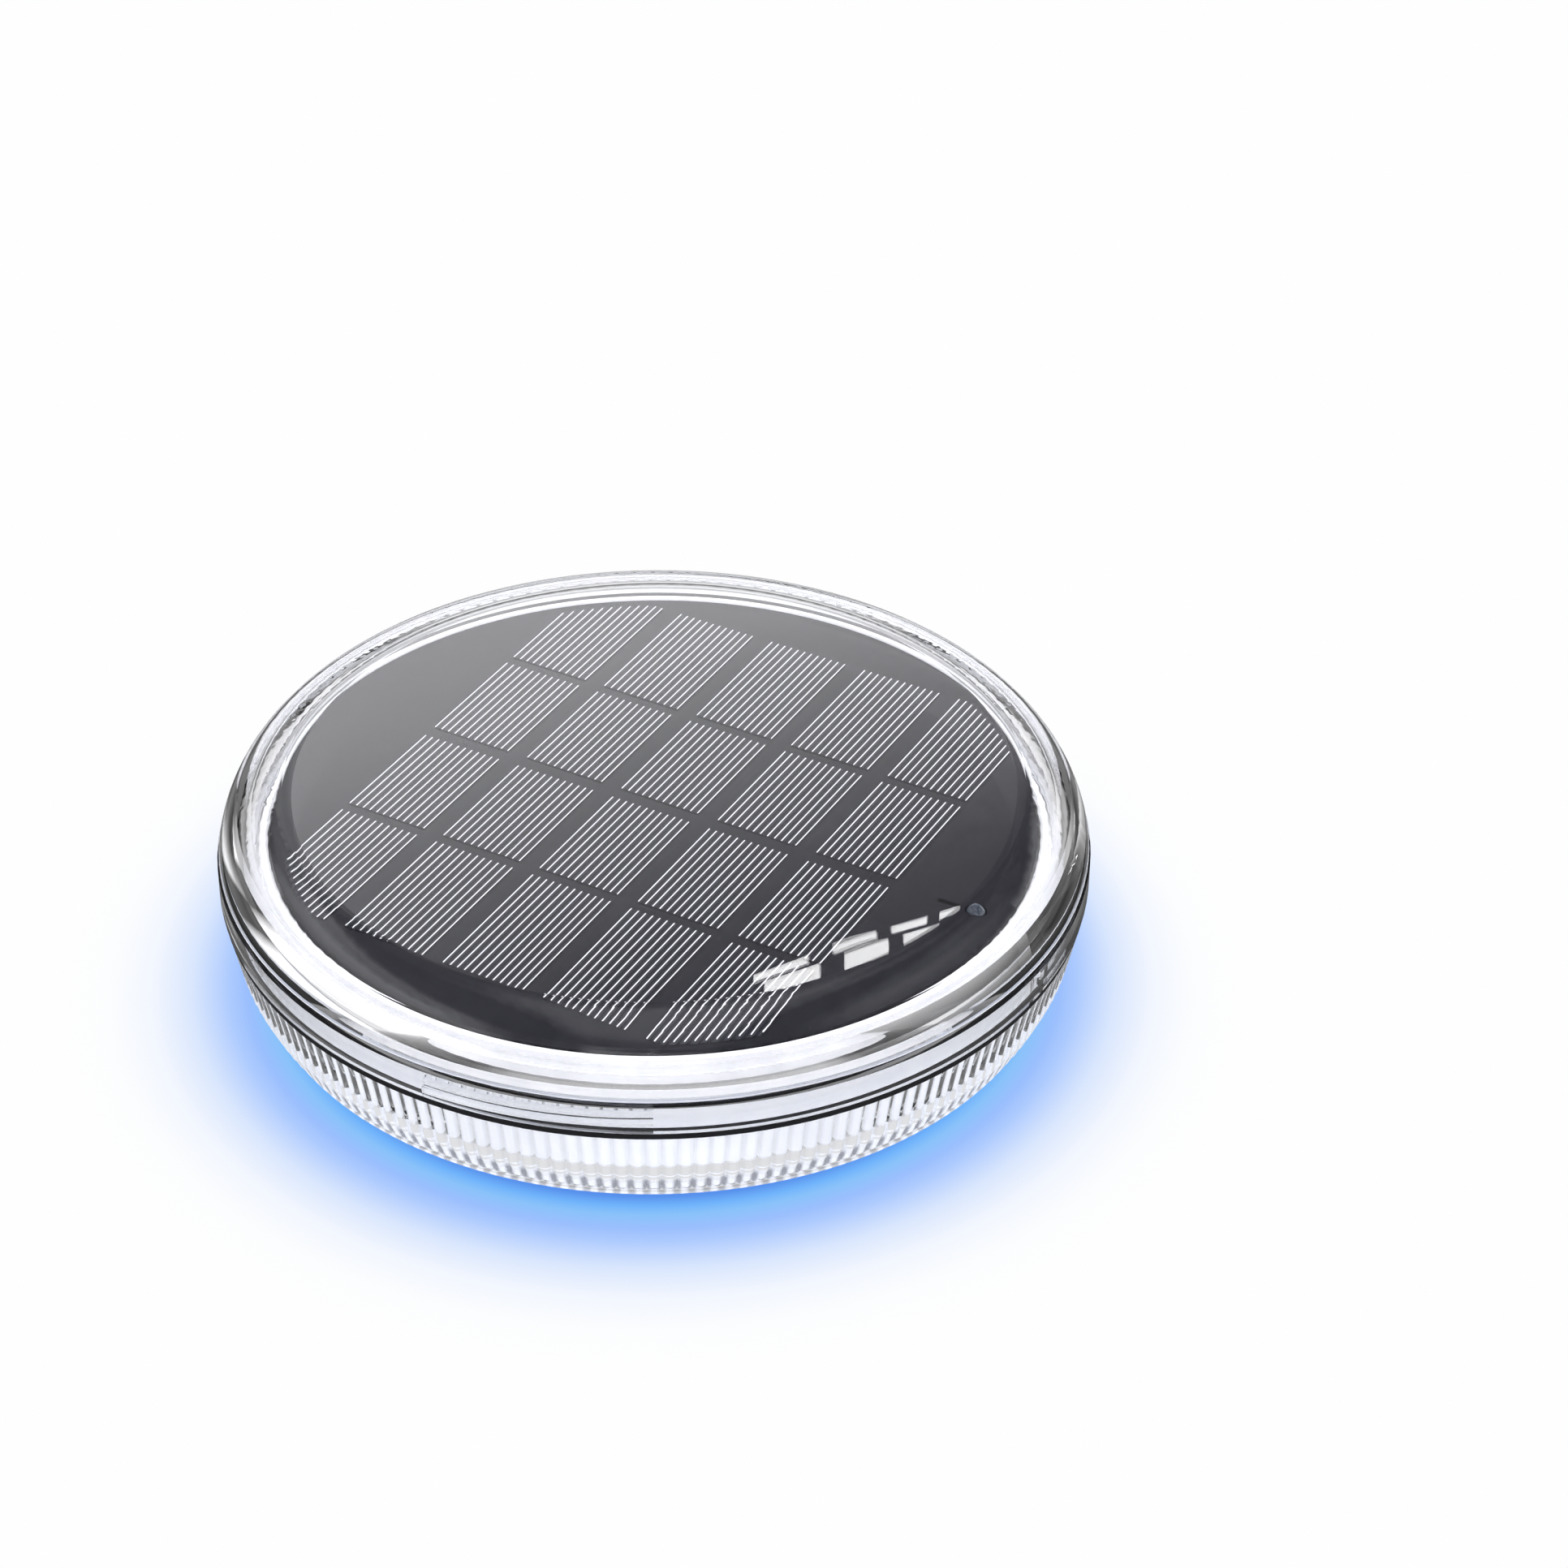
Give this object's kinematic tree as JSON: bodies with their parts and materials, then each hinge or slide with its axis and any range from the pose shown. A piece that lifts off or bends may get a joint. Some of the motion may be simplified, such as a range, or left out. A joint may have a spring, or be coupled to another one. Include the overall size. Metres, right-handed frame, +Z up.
{
  "type": "floating pool light",
  "caption": "Round floating solar pool light: clear screw-on cover over a dark solar panel, flat seal, clear ribbed base and a press button underneath.",
  "frame": {"origin": "on the axis at the foot, where the light stands", "axes": "+Z up along the axis of the cover's thread, +Y along the light runs of the solar cells, +X towards the light sensor"},
  "size_m": [0.1446, 0.1446, 0.033],
  "materials": {
    "clear_cover": "polished clear polycarbonate",
    "clear_base": "polished clear polycarbonate with fine ribs",
    "diffuser_white": "milky plastic that lets light through",
    "seal_rubber": "satin black rubber",
    "button_rubber": "soft grey silicone over a plastic core",
    "silicone": "milky silicone",
    "white_plastic": "fine-textured white ABS",
    "tray_white": "glossy white ABS",
    "foam_tape": "closed-cell foam tape",
    "panel_black": "glossy dark laminate",
    "silicon": "dark silicon with a silver light-collecting print",
    "chip_black": "black epoxy",
    "lens_clear": "clear bead",
    "board_white": "white solder mask",
    "led_white": "white housing",
    "led_clear": "clear resin over blue-lit dies",
    "steel": "zinc-plated steel",
    "board_green": "green solder mask",
    "nickel": "nickel plate",
    "ferrite": "dark ferrite",
    "can_aluminium": "bare can",
    "connector_nylon": "natural nylon",
    "switch_black": "black switch body",
    "plunger_white": "white plunger",
    "battery_wrap": "plain blue sleeve over a metal can",
    "wire_red": "red insulation",
    "wire_black": "black insulation"
  },
  "bodies": {
    "base": {"base_shell": "clear_base", "light_diffuser": "diffuser_white", "button_boot": "silicone", "boot_clamp": "white_plastic", "clamp_screws": "steel"},
    "seal": {"cover_seal": "seal_rubber"},
    "cover": {"top_cover": "clear_cover", "panel_tray": "tray_white", "panel_tape": "foam_tape", "solar_panel": "panel_black", "solar_cells": "silicon", "sensor_module": "chip_black", "sensor_lens": "lens_clear", "led_board": "board_white", "led_housings": "led_white", "led_windows": "led_clear", "led_board_screws": "steel", "main_board": "board_green", "board_screws": "steel", "controller_chip": "chip_black", "chip_legs": "nickel", "power_inductor": "ferrite", "board_capacitors": "can_aluminium", "board_resistors": "chip_black", "board_connectors": "connector_nylon", "switch_housing": "switch_black", "battery_cell": "battery_wrap", "battery_nub": "nickel", "battery_holder": "white_plastic", "battery_contacts": "nickel", "panel_lead_red": "wire_red", "panel_lead_black": "wire_black", "led_lead_red": "wire_red", "led_lead_black": "wire_black", "battery_lead_red": "wire_red", "battery_lead_black": "wire_black"},
    "button": {"button_cap": "button_rubber"},
    "plunger": {"switch_plunger": "plunger_white"}
  },
  "joints": [
    {"name": "cover_lift", "type": "slide", "parent": "base", "child": "seal", "axis": [0, 0, 1], "range_m": [0, 0.00113]},
    {"name": "cover_turn", "type": "hinge", "parent": "seal", "child": "cover", "pos_m": [0, 0, 0.018], "axis": [0, 0, 1], "range_deg": [0, 45]},
    {"name": "button_press", "type": "slide", "parent": "base", "child": "button", "axis": [0, 0, 1], "range_m": [0, 0.001], "stiffness_N_per_m": 1200, "springref_m": -0.0012},
    {"name": "switch_travel", "type": "slide", "parent": "cover", "child": "plunger", "axis": [0, 0, 1], "range_m": [0, 0.001]}
  ],
  "couplings": [
    {"joint": "cover_lift", "follows": "cover_turn", "m_per_rad": 0.0014324},
    {"joint": "switch_travel", "follows": "button_press", "ratio": 1}
  ]
}
